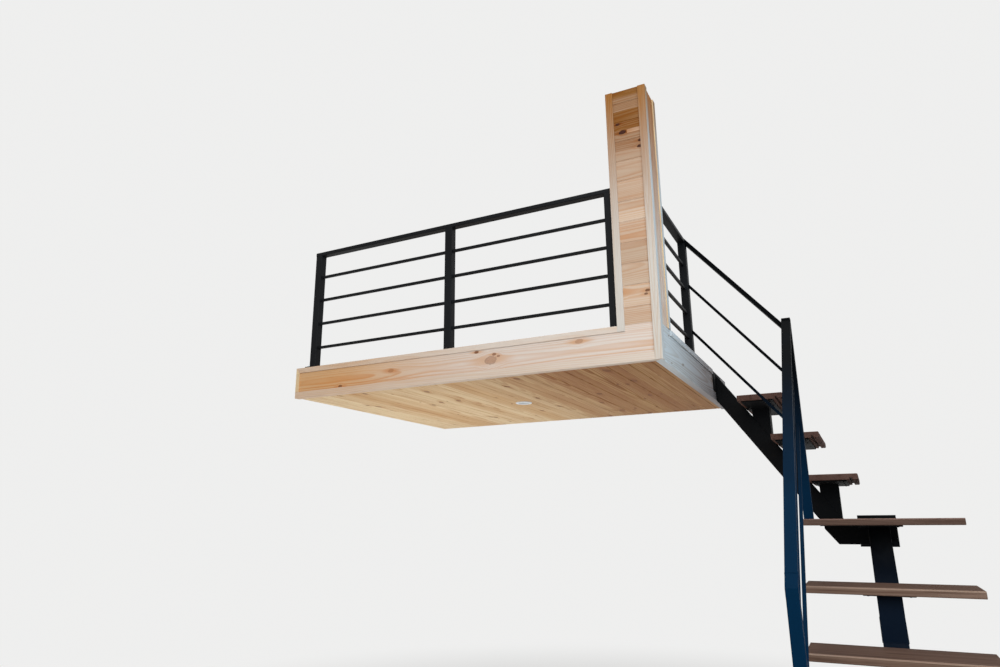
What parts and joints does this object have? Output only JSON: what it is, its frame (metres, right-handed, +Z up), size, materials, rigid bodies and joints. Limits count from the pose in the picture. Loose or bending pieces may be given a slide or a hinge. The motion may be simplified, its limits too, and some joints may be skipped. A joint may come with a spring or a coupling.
{
  "type": "sleeping loft with guard rail and stair",
  "caption": "Corner sleeping loft of pine with a boxed column, a black steel bar guard and an L-shaped stair whose wooden treads ride on a central steel box.",
  "frame": {"origin": "wall face of the back ledger, at the middle of its length and height", "axes": "+Y into the back wall, +Z up, +X along the back wall towards the stair"},
  "size_m": [2.668, 2.05, 3.08],
  "materials": {
    "framing_pine": "sawn",
    "board_pine": "satin",
    "soffit_pine": "satin",
    "face_pine": "satin",
    "trim_pine": "satin",
    "lamp_rim": "satin",
    "guard_steel": "satin powder coat",
    "stair_steel": "satin powder coat",
    "upper_tread_wood": "oiled",
    "lower_tread_wood": "oiled"
  },
  "bodies": {
    "root": {"back_ledger": "framing_pine", "left_ledger": "framing_pine", "front_rim": "framing_pine", "side_rim": "framing_pine", "floor_joists": "framing_pine", "loft_deck": "board_pine", "loft_soffit": "soffit_pine", "front_fascia": "face_pine", "side_fascia": "face_pine", "fascia_top_trim": "trim_pine", "fascia_bottom_trim": "trim_pine", "soffit_lamp": "lamp_rim", "column_core": "framing_pine", "column_cladding": "face_pine", "column_trims": "trim_pine", "front_posts": "guard_steel", "front_top_rail": "guard_steel", "front_bars": "guard_steel", "side_top_rail": "guard_steel", "side_bars": "guard_steel", "stairhead_post": "guard_steel", "landing_newel": "guard_steel", "upper_handrail": "guard_steel", "upper_mid_rails": "guard_steel", "foot_newel": "guard_steel", "lower_handrail": "guard_steel", "lower_mid_rails": "guard_steel", "upper_spine": "stair_steel", "upper_saddles": "stair_steel", "spine_head_plate": "stair_steel", "landing_bearer": "stair_steel", "stair_wall_plate": "stair_steel", "lower_spine": "stair_steel", "lower_saddles": "stair_steel", "stair_foot_plate": "stair_steel", "upper_tread_1": "upper_tread_wood", "upper_tread_2": "upper_tread_wood", "upper_tread_3": "upper_tread_wood", "landing_board": "lower_tread_wood", "lower_tread_1": "lower_tread_wood", "lower_tread_2": "lower_tread_wood", "lower_tread_3": "lower_tread_wood", "lower_tread_4": "lower_tread_wood", "lower_tread_5": "lower_tread_wood", "lower_tread_6": "lower_tread_wood"}
  },
  "joints": []
}
